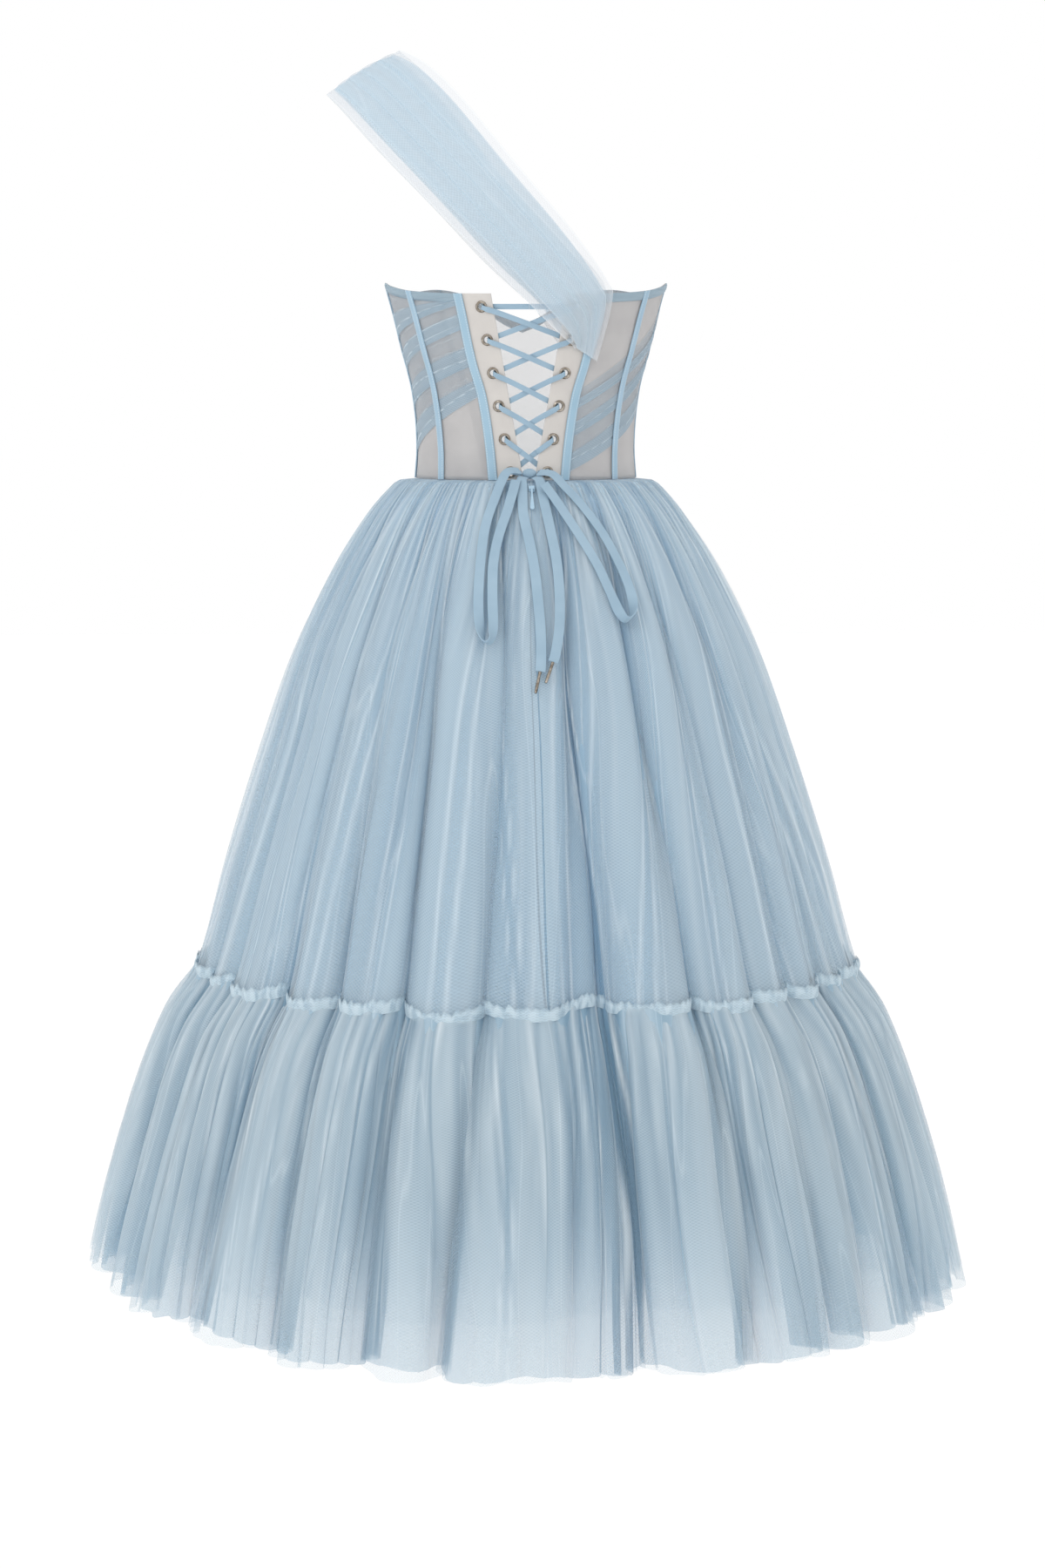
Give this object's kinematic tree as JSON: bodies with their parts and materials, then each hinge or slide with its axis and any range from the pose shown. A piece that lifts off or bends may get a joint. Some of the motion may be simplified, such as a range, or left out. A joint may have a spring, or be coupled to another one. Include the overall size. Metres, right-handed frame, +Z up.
{
  "type": "cocktail dress",
  "caption": "One-shoulder midi cocktail dress: corset bodice laced at the back, gathered tulle skirt with a flounce, lace bow and a concealed zip with a pull tab.",
  "frame": {"origin": "centre of the waist seam, where the wearer's waist holds the dress up", "axes": "+Z up along the dress; the laced back faces -Y, the front +Y and the wearer's right side +X"},
  "size_m": [0.9024, 0.9151, 1.2718],
  "materials": {
    "tulle": "sheer layered net, matte with a slight sheen",
    "mesh": "semi-sheer grey-beige corset mesh",
    "placket": "ivory satin, faint weave",
    "tape": "woven boning tape, stitched at both edges",
    "lace": "flat woven lacing tape",
    "metal": "polished pale metal",
    "zip": "gloss paint"
  },
  "bodies": {
    "dress": {"panel_back_left": "mesh", "panel_back_right": "mesh", "panel_side_back_left": "mesh", "panel_side_back_right": "mesh", "panel_cup_left": "mesh", "panel_cup_right": "mesh", "panel_centre_front": "mesh", "placket_left": "placket", "placket_right": "placket", "eyelet_left_1": "metal", "eyelet_left_2": "metal", "eyelet_left_3": "metal", "eyelet_left_4": "metal", "eyelet_left_5": "metal", "eyelet_left_6": "metal", "eyelet_right_1": "metal", "eyelet_right_2": "metal", "eyelet_right_3": "metal", "eyelet_right_4": "metal", "eyelet_right_5": "metal", "eyelet_right_6": "metal", "tape_inner_left": "tape", "tape_inner_right": "tape", "tape_outer_left": "tape", "tape_outer_right": "tape", "tape_side_left": "tape", "tape_side_right": "tape", "tape_cup_left": "tape", "tape_cup_right": "tape", "binding_back_left": "tulle", "binding_back_right": "tulle", "binding_front": "tulle", "drape_lower_left": "tulle", "drape_middle_left": "tulle", "drape_upper_left": "tulle", "drape_lower_right": "tulle", "drape_middle_right": "tulle", "drape_upper_right": "tulle", "strap": "tulle", "skirt_back_left": "tulle", "skirt_back_right": "tulle", "skirt_front": "tulle", "seam_band_back": "tulle", "seam_band_front": "tulle", "flounce_back": "tulle", "flounce_front": "tulle", "underskirt_back": "tulle", "underskirt_front": "tulle", "lacing_left": "lace", "lacing_right": "lace", "knot": "lace", "bow_loop_left": "lace", "bow_loop_right": "lace", "tail_left": "lace", "tail_right": "lace", "aglet_left": "metal", "aglet_right": "metal", "zip_slider": "zip"},
    "zip_pull": {"zip_pull": "zip"}
  },
  "joints": [
    {"name": "zip_pull_hinge", "type": "hinge", "parent": "dress", "child": "zip_pull", "pos_m": [0.00151, -0.12003, -0.00728], "axis": [-1, 0, 0], "range_deg": [0, 100]}
  ]
}
